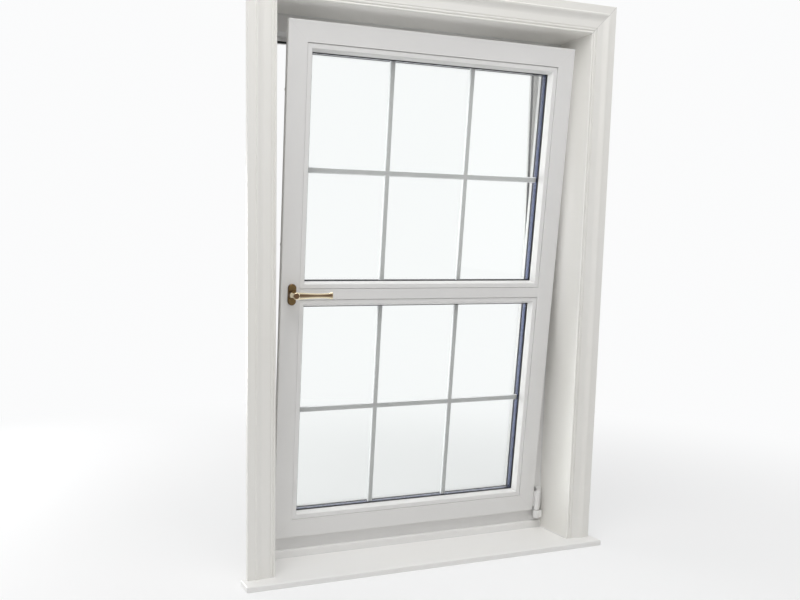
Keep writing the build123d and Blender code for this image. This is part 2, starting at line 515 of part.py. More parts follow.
# Top stay: guide rail and stud on the sash, arm, and its bearing on the frame
stay_length = 416.0                       # from the hinge side to the stud
stud_x = hinge_x - stay_length
guide = block(-sash_x + 118, stud_x + 150, groove_y - 8, groove_y + 8, top - 3.5, top - 0.4)
guide += rod((stud_x, groove_y, top - 0.4), (0, 0, 1), 4, 5)
for x in guide_screw_x:
    guide -= rod((x, plate_screw_y, top + 1), (0, 0, -1), pilot_r, 6)
    sash_screws.append(plate_screw((x, plate_screw_y, top - 0.4), Vector(0, 0, -1)))
save(guide, "stay_guide", True)
save(sash_screws, "sash_hardware_screws", True)
arm_z0, arm_z1 = top + 1.0, top + 3.5
reach = hypot(hinge_x - stud_x, hinge_y - groove_y)
bend_x = hinge_x - 42                     # the arm steps to the room side before its knuckle
plan = [(stud_x - 9, groove_y - 7, 6), (bend_x - 30, groove_y - 12, 20), (bend_x, -3.2, 6),
        (hinge_x - 4, -3.2), (hinge_x - 4, -0.8), (bend_x + 6, -0.8, 6),
        (bend_x - 18, groove_y, 20), (bend_x - 30, groove_y + 3, 20), (stud_x - 9, groove_y + 7, 6)]
arm = extrude(make_face(outline(plan, lambda p: Vector(p.X, p.Y, arm_z0))), amount=arm_z1 - arm_z0)
arm += block(bend_x + 4, hinge_x - 3, -3.2, -0.8, arm_z0, arm_z0 + 8)
arm += block(hinge_x - 5.4, hinge_x - 3, hinge_y, -0.8, arm_z0, arm_z0 + 8)
arm += rod((hinge_x, hinge_y, top - 1), (0, 0, 1), 6, 12)
arm += rod((hinge_x, hinge_y, top - 3), (0, 0, 1), 3, 16)
arm -= rod((stud_x, groove_y, top - 5), (0, 0, 1), 4.06, 20)
# At rest the knuckle still stands at the frame bearing, which the leaned sash has left behind
lift = (top + 5 - hinge_z) * sin(radians(tilt_deg))
arm_deg = degrees(asin((hinge_y - groove_y + lift) / reach) - asin((hinge_y - groove_y) / reach))
save(arm.rotate(Axis((stud_x, groove_y, 0), (0, 0, 1)), arm_deg), "stay_arm", True)

stay = block(plate_in, plate_out, -bearing_t, 0, top - 30, top + 40)
stay_cover = fillet(block(hinge_x + 7, lining_x - 2.5, -11, -bearing_t, top - 30, top + 40)
                    .edges().group_by(Axis.Y)[0], 2.5)
for z in (top - 12, top + 22):
    stay += rod((hinge_x, hinge_y, z), (0, 0, 1), 8, 5)
    stay += block(hinge_x + 2, bearing_x, hinge_y - 4, -2, z, z + 5)
    stay_cover -= block(hinge_x, bearing_x + 0.2, hinge_y - 5, -2, z - 0.2, z + 5.2)
save(stay, "stay_bearing")
save(stay_cover, "stay_bearing_cover")
print("arm_deg", round(arm_deg, 3), "reach", round(reach, 2), "pitch_r", round(pitch_r, 4))
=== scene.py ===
"""Tilt and turn window: finishes, fine parts and stage of the window, laid out as an add-on.

Metres. +Z is up, the room is on the -Y side and the outside on the +Y side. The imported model
gives every place. The sash stands tilted, so what belongs to it is placed in the upright sash
and then leaned with sash_matrix().
"""
import json
import math

import bmesh
import bpy
from bpy.props import FloatProperty, FloatVectorProperty, PointerProperty
from mathutils import Matrix, Vector


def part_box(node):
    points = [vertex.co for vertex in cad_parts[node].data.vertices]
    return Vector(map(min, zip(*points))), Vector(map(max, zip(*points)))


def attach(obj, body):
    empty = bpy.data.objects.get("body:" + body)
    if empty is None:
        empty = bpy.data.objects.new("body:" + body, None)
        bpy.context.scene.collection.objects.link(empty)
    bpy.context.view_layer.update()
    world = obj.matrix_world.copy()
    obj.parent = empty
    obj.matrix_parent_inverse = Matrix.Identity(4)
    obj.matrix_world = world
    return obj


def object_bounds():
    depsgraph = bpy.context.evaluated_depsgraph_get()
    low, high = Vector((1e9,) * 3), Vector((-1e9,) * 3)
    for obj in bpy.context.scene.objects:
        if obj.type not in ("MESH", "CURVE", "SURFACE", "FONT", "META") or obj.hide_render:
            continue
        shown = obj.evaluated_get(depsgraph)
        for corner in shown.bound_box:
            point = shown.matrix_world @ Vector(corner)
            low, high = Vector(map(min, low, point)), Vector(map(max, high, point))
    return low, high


bl_info = {
    "name": "Tilt and turn window",
    "version": (1, 0, 0),
    "blender": (4, 5, 0),
    "location": "View3D > Sidebar > Window",
    "description": "Dresses a tilt and turn window with its finishes, fine parts and stage",
    "category": "Object",
}

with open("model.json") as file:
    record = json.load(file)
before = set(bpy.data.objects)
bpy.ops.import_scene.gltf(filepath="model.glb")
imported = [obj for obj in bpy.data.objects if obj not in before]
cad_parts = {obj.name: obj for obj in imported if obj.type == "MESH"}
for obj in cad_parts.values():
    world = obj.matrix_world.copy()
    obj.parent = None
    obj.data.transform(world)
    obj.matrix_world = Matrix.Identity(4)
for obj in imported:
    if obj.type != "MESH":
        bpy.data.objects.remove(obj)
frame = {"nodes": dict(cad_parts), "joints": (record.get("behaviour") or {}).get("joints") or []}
cad_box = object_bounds()
joints = {joint["name"]: joint for joint in frame["joints"]}
nodes = frame["nodes"]

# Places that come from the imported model
tilt_angle = math.radians(joints["sash_tilt"]["range_deg"][1])
hinge_place = Vector(joints["sash_tilt"]["pos_m"])
sash_half_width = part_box("sash_stile_right")[1].x
frame_low, frame_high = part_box("outer_frame_jamb_left")
frame_half_width = -frame_low.x


def sash_matrix():
    """Leans what is placed in the upright sash to where the tilted sash stands."""
    lean = Matrix.Rotation(tilt_angle, 4, "X")
    return Matrix.Translation(hinge_place) @ lean @ Matrix.Translation(-hinge_place)


def bounds_of(places):
    """Lowest and highest corner of a list of places."""
    return tuple(Vector([pick(place[k] for place in places) for k in range(3)])
                 for pick in (min, max))


def upright_box(*names):
    """Lowest and highest corner of sash nodes, measured in the upright sash."""
    back = sash_matrix().inverted()
    return bounds_of([back @ v.co for name in names for v in nodes[name].data.vertices])


def solids_of(name):
    """Lowest and highest corner of each solid of a node, from the lowest up."""
    shape = bmesh.new()
    shape.from_mesh(nodes[name].data)
    bmesh.ops.remove_doubles(shape, verts=shape.verts, dist=1e-6)
    left, found = set(shape.verts), []
    while left:
        solid, edge = set(), [left.pop()]
        while edge:
            corner = edge.pop()
            solid.add(corner)
            near = {link.other_vert(corner) for link in corner.link_edges} & left
            left -= near
            edge.extend(near)
        found.append(bounds_of([corner.co for corner in solid]))
    shape.free()
    return sorted(found, key=lambda box: box[0].z)


sash_low, sash_high = upright_box("sash_bottom_rail", "sash_top_rail")


# Sizes and colours that a user would change

def length(name, description, default):
    return FloatProperty(name=name, description=description, default=default, min=0,
                         precision=5, unit="LENGTH", subtype="DISTANCE")


def colour(name, description, default):
    return FloatVectorProperty(name=name, description=description, default=default, size=3,
                               min=0, max=1, subtype="COLOR")


class WindowColours(bpy.types.PropertyGroup):
    plastic: colour("Frame plastic", "White plastic of frame and sash", (0.80, 0.793, 0.783))
    bead: colour("Bead plastic", "White plastic of the glazing beads", (0.82, 0.814, 0.805))
    paint: colour("Paint", "Satin paint of linings and architraves", (0.86, 0.85, 0.82))
    board: colour("Board paint", "Satin paint of the window board", (0.88, 0.875, 0.865))
    # The lever's brass colours are painted reflection: the pale colour where it is seen along,
    # the dark one where it is seen straight
    brass: colour("Brass", "Polished brass seen along", (0.98, 0.88, 0.64))
    brass_painted_dark_reflection: colour("Brass face", "Polished brass seen straight", (0.15, 0.09, 0.05))
    # The rose's dark brass is painted dark reflection, not an older brass
    rose_painted_dark_reflection: colour("Dull brass", "Darker brass of the rose", (0.15, 0.10, 0.045))
    gasket: colour("Gasket", "Black rubber of the gaskets", (0.012, 0.012, 0.014))
    spacer: colour("Spacer", "Coated spacer between the panes", (0.035, 0.05, 0.12))
    # The bars' coating is white; the grey of the flat faces is painted shade, as of daylight
    # from behind
    bar_painted_shade: colour("Glazing bar", "Coating of the bars' flat faces", (0.40, 0.40, 0.395))
    bar_edge: colour("Bar edge", "Coating of the bars' sloping edges", (0.80, 0.80, 0.81))
    steel: colour("Hardware steel", "Zinc plated steel of the hardware", (0.56, 0.56, 0.54))
    glass: colour("Glass", "Tint of the panes", (0.985, 0.996, 0.992))
    sealant: colour("Sealant", "White sealant in the corners", (0.80, 0.80, 0.79))
    floor: colour("Floor", "Pale floor of the stage", (0.86, 0.86, 0.86))


class WindowSizes(bpy.types.PropertyGroup):
    weld_width: length("Weld line", "Width of the dressed weld at a corner", 0.0016)
    bead_width: length("Bead width", "From the outer edge of a bead to the glass", 0.0210)
    lip_radius: length("Gasket lip", "Radius of the gasket lip against the glass", 0.0031)
    outer_lip_radius: length("Outer lip", "Radius of the gasket lip outside the glass", 0.0024)
    spacer_height: length("Spacer height", "Height of the spacer between the panes", 0.008)
    spacer_rise: length("Spacer rise", "Rise of the warm edge capping above the spacer", 0.0062)
    hole_pitch: length("Perforation pitch", "From one spacer perforation to the next", 0.004)
    hole_radius: length("Perforation radius", "Radius of a spacer perforation", 0.00045)
    hole_row: length("Perforation rows", "From the middle of the spacer to a row", 0.0035)
    sealant_radius: length("Sealant radius", "Radius of the sealant in the corners", 0.0016)
    screw_radius: length("Screw head", "Radius of a countersunk screw head", 0.0036)


class WindowCamera(bpy.types.PropertyGroup):
    place: FloatVectorProperty(name="Place", description="Where the camera stands", size=3,
                               default=(-1.3766, -2.4888, 0.9807), subtype="TRANSLATION")
    pitch: FloatProperty(name="Pitch", description="Upward turn of the view", subtype="ANGLE",
                         default=math.radians(-7.563))
    roll: FloatProperty(name="Roll", description="Roll about the view", subtype="ANGLE",
                        default=math.radians(-0.294))
    yaw: FloatProperty(name="Yaw", description="Turn of the view to the left", subtype="ANGLE",
                       default=math.radians(-20.149))
    focal_share: FloatProperty(name="Focal share", default=838.58 / 800,
                               description="Focal length over picture width")
    shift_x: FloatProperty(name="Shift across", description="Share of the picture's width",
                           default=(400 - 283.06) / 800)
    shift_y: FloatProperty(name="Shift up", description="Share of the picture's width",
                           default=(372.85 - 300) / 800)


# Node trees

def add(tree, kind, x, y, inputs=None, **settings):
    """A new node at a place, with its settings and the values of its inputs."""
    node = tree.nodes.new(kind)
    node.location = x, y
    for key, value in settings.items():
        setattr(node, key, value)
    for key, value in (inputs or {}).items():
        node.inputs[key].default_value = value
    return node


def wire(tree, *links):
    """Links nodes: each link names the giver, its output, the taker and its input."""
    for giver, output, taker, entry in links:
        tree.links.new(giver.outputs[output], taker.inputs[entry])


def socket(tree, name, kind, way="INPUT", default=None):
    """A named input or output of a tree."""
    item = tree.interface.new_socket(name=name, in_out=way, socket_type=f"NodeSocket{kind}")
    if default is not None:
        item.default_value = default


def make_tone_group():
    """Uneven tone: two colours blended by a noise."""
    tree = bpy.data.node_groups.new("Uneven tone", "ShaderNodeTree")
    socket(tree, "Colour", "Color")
    socket(tree, "Second colour", "Color")
    socket(tree, "Scale", "Float", default=4.0)
    socket(tree, "Amount", "Float", default=0.5)
    socket(tree, "Colour", "Color", "OUTPUT")
    start, end = add(tree, "NodeGroupInput", -900, 0), add(tree, "NodeGroupOutput", 500, 0)
    place = add(tree, "ShaderNodeTexCoord", -900, -250)
    noise = add(tree, "ShaderNodeTexNoise", -650, -150, {"Detail": 6.0, "Roughness": 0.62})
    reach = add(tree, "ShaderNodeMapRange", -400, -150, {"From Min": 0.38, "From Max": 0.68})
    share = add(tree, "ShaderNodeMath", -150, -150, operation="MULTIPLY")
    blend = add(tree, "ShaderNodeMix", 150, 0, data_type="RGBA")
    wire(tree, (place, "Object", noise, "Vector"), (start, "Scale", noise, "Scale"),
         (noise, "Fac", reach, "Value"), (reach, "Result", share, 0),
         (start, "Amount", share, 1), (share, 0, blend, "Factor"),
         (start, "Colour", blend, "A"), (start, "Second colour", blend, "B"),
         (blend, "Result", end, "Colour"))
    return tree


def make_texture_group():
    """Fine texture: noise stretched along the piece, for bump and gloss."""
    tree = bpy.data.node_groups.new("Fine texture", "ShaderNodeTree")
    socket(tree, "Stretch", "Vector", default=(1.0, 1.0, 1.0))
    socket(tree, "Scale", "Float", default=300.0)
    socket(tree, "Detail", "Float", default=2.0)
    socket(tree, "Low", "Float", default=0.3)
    socket(tree, "High", "Float", default=0.5)
    socket(tree, "Height", "Float", "OUTPUT")
    socket(tree, "Gloss", "Float", "OUTPUT")
    start, end = add(tree, "NodeGroupInput", -900, 0), add(tree, "NodeGroupOutput", 400, 0)
    place = add(tree, "ShaderNodeTexCoord", -900, -250)
    stretch = add(tree, "ShaderNodeVectorMath", -650, -100, operation="MULTIPLY")
    noise = add(tree, "ShaderNodeTexNoise", -400, -100, {"Roughness": 0.55})
    gloss = add(tree, "ShaderNodeMapRange", 0, -150)
    wire(tree, (place, "Object", stretch, 0), (start, "Stretch", stretch, 1),
         (stretch, 0, noise, "Vector"), (start, "Scale", noise, "Scale"),
         (start, "Detail", noise, "Detail"), (noise, "Fac", end, "Height"),
         (noise, "Fac", gloss, "Value"), (start, "Low", gloss, "To Min"),
         (start, "High", gloss, "To Max"), (gloss, "Result", end, "Gloss"))
    return tree


def make_corner_group():
    """Corner line: a mask along the mitres of a rectangle centred on its vector input."""
    tree = bpy.data.node_groups.new("Corner line", "ShaderNodeTree")
    socket(tree, "Vector", "Vector")
    socket(tree, "Half width", "Float", default=0.5)
    socket(tree, "Half height", "Float", default=0.8)
    socket(tree, "Line", "Float", default=0.002)
    socket(tree, "Mask", "Float", "OUTPUT")
    start, end = add(tree, "NodeGroupInput", -1100, 0), add(tree, "NodeGroupOutput", 600, 0)
    parts = add(tree, "ShaderNodeSeparateXYZ", -900, 0)
    wire(tree, (start, "Vector", parts, 0))
    insets = []
    for axis, half, y in (("X", "Half width", 100), ("Z", "Half height", -150)):
        size = add(tree, "ShaderNodeMath", -650, y, operation="ABSOLUTE")
        inset = add(tree, "ShaderNodeMath", -400, y, operation="SUBTRACT")
        wire(tree, (parts, axis, size, 0), (start, half, inset, 0), (size, 0, inset, 1))
        insets.append(inset)
    across = add(tree, "ShaderNodeMath", -150, 0, operation="SUBTRACT")
    away = add(tree, "ShaderNodeMath", 50, 0, operation="ABSOLUTE")
    mask = add(tree, "ShaderNodeMapRange", 300, 0, {"To Min": 1.0, "To Max": 0.0},
               interpolation_type="SMOOTHSTEP")
    wire(tree, (insets[0], 0, across, 0), (insets[1], 0, across, 1), (across, 0, away, 0),
         (away, 0, mask, "Value"), (start, "Line", mask, "From Max"),
         (mask, "Result", end, "Mask"))
    return tree


def geometry_tree(name, inputs):
    """An empty geometry tree with named inputs, and a material for its result."""
    tree = bpy.data.node_groups.new(name, "GeometryNodeTree")
    socket(tree, "Geometry", "Geometry")
    for title, kind, default in inputs:
        socket(tree, title, kind, default=default)
    socket(tree, "Material", "Material")
    socket(tree, "Geometry", "Geometry", "OUTPUT")
    return tree, add(tree, "NodeGroupInput", -1000, 0), add(tree, "NodeGroupOutput", 900, 0)


def close_tree(tree, start, end, made, output):
    """Realizes what a node of the tree made, and gives it the material of the tree's input."""
    real = add(tree, "GeometryNodeRealizeInstances", 500, 0)
    finish = add(tree, "GeometryNodeSetMaterial", 700, 0)
    wire(tree, (made, output, real, "Geometry"), (real, "Geometry", finish, "Geometry"),
         (start, "Material", finish, "Material"), (finish, "Geometry", end, "Geometry"))
    return tree


def make_strip_tree():
    """Strip: a round strip along a path, with rounded corners."""
    tree, start, end = geometry_tree("Strip along a path", (
        ("Radius", "Float", 0.002), ("Corner radius", "Float", 0.003), ("Sides", "Int", 10)))
    path = add(tree, "GeometryNodeMeshToCurve", -750, 0)
    corner = add(tree, "GeometryNodeFilletCurve", -450, 0, {"Count": 3}, mode="POLY")
    section = add(tree, "GeometryNodeCurvePrimitiveCircle", -450, -250)
    strip = add(tree, "GeometryNodeCurveToMesh", -100, 0, {"Fill Caps": True})
    smooth = add(tree, "GeometryNodeSetShadeSmooth", 200, 0)
    wire(tree, (start, "Geometry", path, "Mesh"), (path, "Curve", corner, "Curve"),
         (start, "Corner radius", corner, "Radius"), (start, "Sides", section, "Resolution"),
         (start, "Radius", section, "Radius"), (corner, "Curve", strip, "Curve"),
         (section, "Curve", strip, "Profile Curve"), (strip, "Mesh", smooth, "Geometry"))
    return close_tree(tree, start, end, smooth, "Geometry")


def make_hole_tree():
    """Perforations: small round discs along a path, facing the middle of its loop, that stand
    for holes.
    """
    tree, start, end = geometry_tree("Perforations along a path", (
        ("Pitch", "Float", 0.004), ("Radius", "Float", 0.0005)))
    path = add(tree, "GeometryNodeMeshToCurve", -750, 0)
    points = add(tree, "GeometryNodeCurveToPoints", -450, 0, mode="LENGTH")
    hole = add(tree, "GeometryNodeMeshCircle", -150, -200, {"Vertices": 6}, fill_type="NGON")
    window_depth = (0.0, 1.0, 0.0)
    across = add(tree, "ShaderNodeVectorMath", -250, -450, {1: window_depth},
                 operation="CROSS_PRODUCT")
    turn = add(tree, "FunctionNodeAlignRotationToVector", -50, -450, axis="Z")
    place = add(tree, "GeometryNodeInstanceOnPoints", 200, 0)
    wire(tree, (start, "Geometry", path, "Mesh"), (path, "Curve", points, "Curve"),
         (start, "Pitch", points, "Length"), (start, "Radius", hole, "Radius"),
         (points, "Tangent", across, 0), (across, 0, turn, "Vector"),
         (points, "Points", place, "Points"), (hole, "Mesh", place, "Instance"),
         (turn, "Rotation", place, "Rotation"))
    return close_tree(tree, start, end, place, "Instances")


def make_screw_tree():
    """Screws: a screw head at each point, turned to the point's facing."""
    tree, start, end = geometry_tree("Screws at points", (
        ("Head", "Object", None), ("Head radius", "Float", 0.0036), ("Seed", "Int", 7)))
    head = add(tree, "GeometryNodeObjectInfo", -600, -250, transform_space="ORIGINAL")
    facing = add(tree, "GeometryNodeInputNamedAttribute", -600, -450, {"Name": "facing"},
                 data_type="FLOAT_VECTOR")
    turn = add(tree, "FunctionNodeAlignRotationToVector", -300, -450, axis="Z")
    float_max, float_value = 3, 1   # the float sockets, whose names other types share
    spin = add(tree, "FunctionNodeRandomValue", -600, -650, {float_max: math.tau},
               data_type="FLOAT")
    about = add(tree, "FunctionNodeAxisAngleToRotation", -300, -650)
    both = add(tree, "FunctionNodeRotateRotation", -50, -500, rotation_space="LOCAL")
    place = add(tree, "GeometryNodeInstanceOnPoints", 200, 0)
    wire(tree, (start, "Geometry", place, "Points"), (start, "Head", head, "Object"),
         (head, "Geometry", place, "Instance"), (start, "Head radius", place, "Scale"),
         (facing, "Attribute", turn, "Vector"), (start, "Seed", spin, "Seed"),
         (spin, float_value, about, "Angle"), (turn, "Rotation", both, "Rotation"),
         (about, "Rotation", both, "Rotate By"), (both, "Rotation", place, "Rotation"))
    return close_tree(tree, start, end, place, "Instances")


def plain_object(name, verts, edges=(), faces=()):
    """An object at the origin, with a mesh of the given corners, edges and faces."""
    mesh = bpy.data.meshes.new(name)
    mesh.from_pydata([tuple(v) for v in verts], list(edges), list(faces))
    piece = bpy.data.objects.new(name, mesh)
    bpy.context.collection.objects.link(piece)
    return piece


def rectangle(low, high, inset, y):
    """Corners of a rectangle inside a box, at a depth."""
    x0, x1, z0, z1 = low.x + inset, high.x - inset, low.z + inset, high.z - inset
    return [(x0, y, z0), (x1, y, z0), (x1, y, z1), (x0, y, z1)]


def loop_mesh(name, loops, closed=True):
    """Paths as a mesh of edges: a list of lists of points."""
    verts, edges = [], []
    for points in loops:
        first = len(verts)
        verts += points
        edges += [(first + k, first + k + 1) for k in range(len(points) - 1)]
        if closed:
            edges.append((len(verts) - 1, first))
    return plain_object(name, verts, edges)


def grow(name, tree, base, body, material, inputs, place=None):
    """Runs a geometry tree on a base, and keeps the result as a plain mesh on a body."""
    step = base.modifiers.new("Tree", "NODES")
    step.node_group = tree
    keys = {item.name: item.identifier for item in tree.interface.items_tree
            if item.in_out == "INPUT"}
    for title, value in {**inputs, "Material": material}.items():
        step[keys[title]] = value
    view = bpy.context.evaluated_depsgraph_get()
    mesh = bpy.data.meshes.new_from_object(base.evaluated_get(view), depsgraph=view)
    if place:
        mesh.transform(place)
    mesh.name = name
    base.modifiers.remove(step)
    bpy.data.objects.remove(base)
    piece = bpy.data.objects.new(name, mesh)
    bpy.context.collection.objects.link(piece)
    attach(piece, body)


def group_node(tree, name, x, y, inputs):
    """A node of a named shader group, which is made at its first use."""
    makers = {"Uneven tone": make_tone_group, "Fine texture": make_texture_group,
              "Corner line": make_corner_group}
    made = bpy.data.node_groups.get(name) or makers[name]()
    node = add(tree, "ShaderNodeGroup", x, y, node_tree=made)
    for key, value in inputs.items():
        node.inputs[key].default_value = value
    return node


# Materials

def new_material(name, **inputs):
    """A material with one Principled shader. Underscores in input names stand for spaces."""
    made = bpy.data.materials.new(name)
    made.use_nodes = True
    shader = made.node_tree.nodes["Principled BSDF"]
    for key, value in inputs.items():
        shader.inputs[key.replace("_", " ")].default_value = value
    return made, made.node_tree, shader


def with_alpha(rgb):
    return tuple(rgb[:3]) + (1.0,)


def toned(rgb, *shares):
    """A colour times one share, or times a share for each channel."""
    return [c * share for c, share in zip(rgb, shares * (3 // len(shares)))]


def surface(name, rgb, second, tone=(4.0, 0.5), grain=(300.0, 2.0), stretch=(1, 1, 1),
            gloss=(0.3, 0.45), bump=0.1, depth=0.0002, **inputs):
    """A finish with an uneven tone, an uneven gloss and a fine relief.

    tone is the scale and amount of the second colour, grain the scale and detail of the
    relief, gloss the lowest and highest roughness, bump and depth the relief's strength and
    height.
    """
    made, tree, shader = new_material(name, **inputs)
    shade = group_node(tree, "Uneven tone", -700, 200, {
        "Colour": with_alpha(rgb), "Second colour": with_alpha(second),
        "Scale": tone[0], "Amount": tone[1]})
    relief = group_node(tree, "Fine texture", -700, -150, {
        "Stretch": stretch, "Scale": grain[0], "Detail": grain[1],
        "Low": gloss[0], "High": gloss[1]})
    raised = add(tree, "ShaderNodeBump", -300, -250, {"Strength": bump, "Distance": depth})
    wire(tree, (shade, "Colour", shader, "Base Color"), (relief, "Gloss", shader, "Roughness"),
         (relief, "Height", raised, "Height"), (raised, "Normal", shader, "Normal"))
    return made


def lay_over(material, second, blend_type="MIX"):
    """Lays a second colour over a finish's base colour, and gives back the mix's factor."""
    tree = material.node_tree
    base = tree.nodes["Principled BSDF"].inputs["Base Color"]
    blend = add(tree, "ShaderNodeMix", -250, 350, data_type="RGBA", blend_type=blend_type)
    blend.inputs["B"].default_value = with_alpha(second)
    tree.links.new(base.links[0].from_socket, blend.inputs["A"])
    tree.links.new(blend.outputs["Result"], base)
    return blend.inputs["Factor"]


def mix_to_surface(tree, share, first, second, output="Material Output"):
    """Mixes two shaders by a share, and makes the mix the surface."""
    blend = add(tree, "ShaderNodeMixShader", 350, 200)
    tree.links.new(share, blend.inputs[0])
    wire(tree, (first, 0, blend, 1), (second, 0, blend, 2),
         (blend, 0, tree.nodes[output], "Surface"))


def add_welds(material, middle_z, half_width, half_height, lean, line, share):
    """Draws the dressed welds of a frame's four corners into a finish, darker by a share."""
    tree = material.node_tree
    shader = tree.nodes["Principled BSDF"]
    place = add(tree, "ShaderNodeTexCoord", -1500, 600)
    turn = Matrix.Rotation(-lean, 3, "X")
    upright = hinge_place - turn @ hinge_place
    moved = add(tree, "ShaderNodeMapping", -1300, 600, {
        "Location": upright - Vector((0, 0, middle_z)), "Rotation": (-lean, 0.0, 0.0)})
    weld = group_node(tree, "Corner line", -1050, 600, {
        "Half width": half_width, "Half height": half_height, "Line": line})
    groove = add(tree, "ShaderNodeBump", -50, -250, {"Strength": 0.25, "Distance": 0.0002},
                 invert=True)
    tree.links.new(weld.outputs["Mask"], lay_over(material, [share] * 3, "MULTIPLY"))
    tree.links.new(shader.inputs["Normal"].links[0].from_socket, groove.inputs["Normal"])
    wire(tree, (place, "Object", moved, "Vector"), (moved, "Vector", weld, "Vector"),
         (weld, "Mask", groove, "Height"), (groove, "Normal", shader, "Normal"))
    return material


def plastic(name, rgb, **inputs):
    """Smooth white plastic with a faint unevenness."""
    return surface(name, rgb, toned(rgb, 0.93), tone=(2.2, 0.5), grain=(420.0, 1.5),
                   gloss=(0.27, 0.36), bump=0.05, depth=0.0001, **inputs)


def painted_wood(name, rgb, stretch):
    """Satin paint with the lie of the brush along the piece."""
    return surface(name, rgb, toned(rgb, 0.97, 0.96, 0.935), tone=(1.6, 0.5),
                   grain=(26.0, 5.0), stretch=stretch, gloss=(0.3, 0.38), bump=0.05,
                   depth=0.0004)


def clear_glass(rgb):
    """Clear glass that lets the light of the lamps through."""
    made, tree, shader = new_material("Clear glass", Base_Color=with_alpha(rgb), Roughness=0.0,
                                      IOR=1.5, Transmission_Weight=1.0)
    path = add(tree, "ShaderNodeLightPath", -300, 500)
    through = add(tree, "ShaderNodeBsdfTransparent", -300, 150, {"Color": with_alpha(rgb)})
    mix_to_surface(tree, path.outputs["Is Shadow Ray"], shader, through)
    return made


def rubber_finish(colours):
    """The rubber of all gaskets, which is made once."""
    return bpy.data.materials.get("Gasket rubber") or surface(
        "Gasket rubber", colours.gasket, toned(colours.gasket, 2.2), tone=(40.0, 0.5),
        grain=(700.0, 3.0), gloss=(0.5, 0.66), bump=0.2)


def assign(names, material):
    """Puts a material on CAD nodes."""
    for name in names:
        piece = nodes[name]
        if not piece.data.materials:
            piece.data.materials.append(material)
        for place in piece.material_slots:
            place.material = material


def settings():
    """The scene's colours, sizes and camera."""
    scene = bpy.context.scene
    return scene.window_colours, scene.window_sizes, scene.window_camera


# Operators

class WINDOW_OT_frame_finish(bpy.types.Operator):
    """Gives outer frame, sash and beads their white plastic, with a weld line at each corner"""
    bl_idname = "window.frame_finish"
    bl_label = "Finish frame and sash"

    def execute(self, context):
        colours, sizes, _ = settings()
        sash = self.welded("Sash plastic", colours.plastic, sash_low.z, sash_high.z,
                           sash_half_width, tilt_angle, sizes.weld_width)
        assign([f"sash_{n}" for n in ("top_rail", "bottom_rail", "stile_left", "stile_right")],
               sash)
        assign(["sash_mid_rail"], plastic("Rail plastic", colours.plastic))
        outer = self.welded("Frame plastic", colours.plastic, frame_low.z, frame_high.z,
                            frame_half_width, 0.0, sizes.weld_width)
        assign([f"outer_frame_{n}" for n in ("head", "sill", "jamb_left", "jamb_right")], outer)
        bead_line, bead_share = sizes.weld_width * 0.5, 0.85
        for unit in ("upper", "lower"):
            low, high = upright_box(f"glazing_beads_{unit}")
            assign([f"glazing_beads_{unit}"], self.welded(
                f"Bead plastic, {unit}", colours.bead, low.z, high.z, high.x, tilt_angle,
                bead_line, bead_share))
        assign(["sill_profile"], plastic("Sill plastic", toned(colours.plastic, 0.97)))
        cap = plastic("Cap plastic", colours.bead, Coat_Weight=0.25)
        assign(["drain_caps", "run_up_block", "corner_bearing_cover", "stay_bearing_cover",
                "hinge_band_cover", "bar_end_keys"], cap)
        return {"FINISHED"}

    def welded(self, name, rgb, z0, z1, half_width, lean, line, share=0.95):
        """White plastic with weld lines at the corners of a frame from z0 to z1."""
        return add_welds(plastic(name, rgb), (z0 + z1) / 2, half_width, (z1 - z0) / 2, lean,
                         line, share)


class WINDOW_OT_timber_finish(bpy.types.Operator):
    """Paints linings, architraves and window board"""
    bl_idname = "window.timber_finish"
    bl_label = "Finish linings and board"

    def execute(self, context):
        colours, sizes, _ = settings()
        upright_brush, level_brush = (6.0, 6.0, 0.35), (0.35, 6.0, 6.0)
        assign(["lining_left", "lining_right"],
               painted_wood("Paint, brushed upright", colours.paint, upright_brush))
        assign(["lining_head"],
               painted_wood("Paint, brushed level", colours.paint, level_brush))
        board_brush = (0.3, 5.0, 5.0)
        assign(["window_board"], painted_wood("Board paint", colours.board, board_brush))
        # The mitres run from the upper corners; the mask's lower ones lie far under the floor
        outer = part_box("architrave_head")[1]
        reach, mitre_line, mitre_share = 10.0, sizes.weld_width * 0.6, 0.55
        for names, brush in ((("architrave_left", "architrave_right"), upright_brush),
                             (("architrave_head",), level_brush)):
            paint = painted_wood(f"Architrave paint, {len(names)}", colours.paint, brush)
            assign(names, add_welds(paint, outer.z - reach, outer.x, reach, 0.0, mitre_line,
                                    mitre_share))
        return {"FINISHED"}


